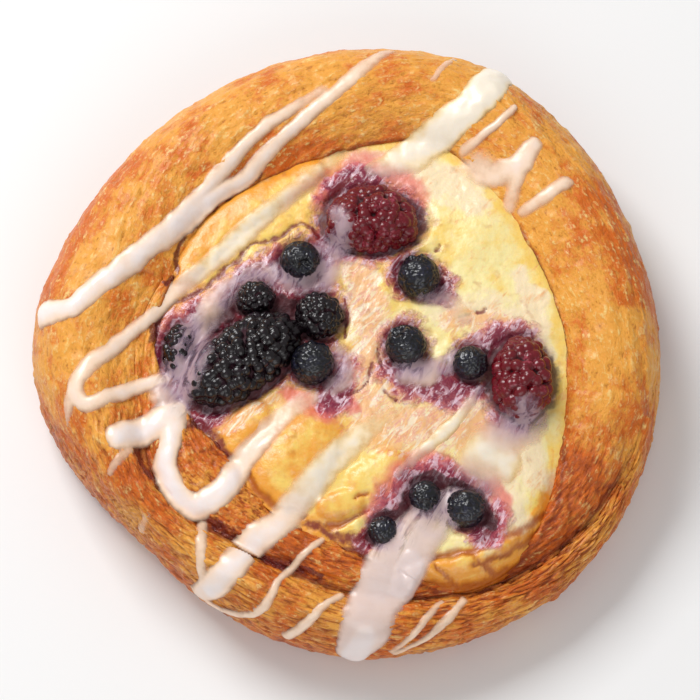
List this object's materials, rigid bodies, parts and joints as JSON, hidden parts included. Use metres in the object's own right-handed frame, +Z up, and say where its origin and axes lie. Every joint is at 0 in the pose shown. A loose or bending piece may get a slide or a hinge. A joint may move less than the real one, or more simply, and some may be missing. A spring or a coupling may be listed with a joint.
{
  "type": "danish pastry",
  "caption": "Round coiled danish pastry with a baked custard well, whole berries and drizzled icing, flat underneath.",
  "frame": {"origin": "on the flat underside, at the middle of the coil", "axes": "+Z up out of the custard; +X to the right and +Y away, as the picture shows the pastry"},
  "size_m": [0.1238, 0.1268, 0.0289],
  "materials": {
    "crust": "golden egg-washed laminated dough, mottled brown",
    "custard": "baked custard, yellow with browned edges",
    "icing": "glossy white sugar icing, thin at its edges",
    "raspberry": "dark red baked raspberry, moist",
    "bramble": "purple-black beaded berry, moist",
    "blueberry": "blue-black berry, moist"
  },
  "bodies": {
    "root": {"pastry": "crust", "custard": "custard", "raspberry_top": "raspberry", "raspberry_right": "raspberry", "bramble_long": "bramble", "bramble_round": "bramble", "bramble_small": "bramble", "bramble_left": "bramble", "blueberry_upper_left": "blueberry", "blueberry_upper_right": "blueberry", "blueberry_middle": "blueberry", "blueberry_centre": "blueberry", "blueberry_right": "blueberry", "blueberry_lower_left": "blueberry", "blueberry_lower_middle": "blueberry", "blueberry_lower_right": "blueberry"}
  },
  "joints": []
}
